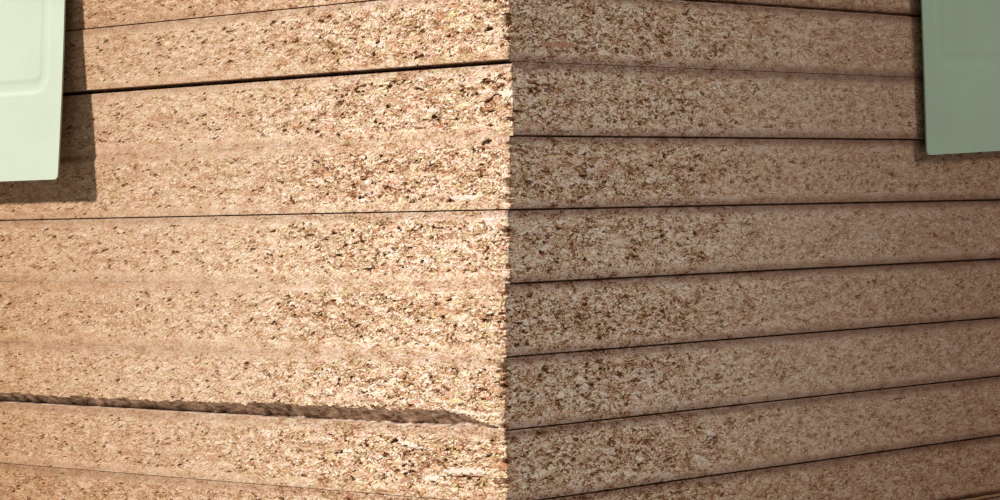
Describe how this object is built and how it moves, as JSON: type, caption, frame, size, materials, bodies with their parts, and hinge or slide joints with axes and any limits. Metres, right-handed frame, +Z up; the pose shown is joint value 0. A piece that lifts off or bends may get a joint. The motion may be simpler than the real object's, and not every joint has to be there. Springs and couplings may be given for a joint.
{
  "type": "stack of particleboard sheets",
  "caption": "Stack of raw particleboard sheets lying flat, slightly out of line, with chipped sawn edges and curling pale green pack cards hung beside one corner.",
  "frame": {"origin": "under the middle of the stack, on the floor", "axes": "+X along the sheets' length, towards the short side that carries a card; +Y along their width, away from the long side that carries a card; +Z up"},
  "size_m": [2.4471, 1.2294, 0.576],
  "materials": {
    "particleboard": "raw sanded faces and sawn edges, fine chips near both faces and coarse chips in the core",
    "card": "smooth pale green card with a pressed frame",
    "staple_wire": "plain galvanised wire"
  },
  "bodies": {
    "root": {"sheet_01": "particleboard", "sheet_02": "particleboard", "sheet_03": "particleboard", "sheet_04": "particleboard", "sheet_05": "particleboard", "sheet_06": "particleboard", "sheet_07": "particleboard", "sheet_08": "particleboard", "sheet_09": "particleboard", "sheet_10": "particleboard", "sheet_11": "particleboard", "sheet_12": "particleboard", "sheet_13": "particleboard", "sheet_14": "particleboard", "sheet_15": "particleboard", "sheet_16": "particleboard", "sheet_17": "particleboard", "sheet_18": "particleboard", "sheet_19": "particleboard", "sheet_20": "particleboard", "sheet_21": "particleboard", "sheet_22": "particleboard", "sheet_23": "particleboard", "sheet_24": "particleboard", "sheet_25": "particleboard", "sheet_26": "particleboard", "sheet_27": "particleboard", "sheet_28": "particleboard", "sheet_29": "particleboard", "sheet_30": "particleboard", "sheet_31": "particleboard", "sheet_32": "particleboard", "card_long_side": "card", "card_short_side": "card"}
  },
  "joints": []
}
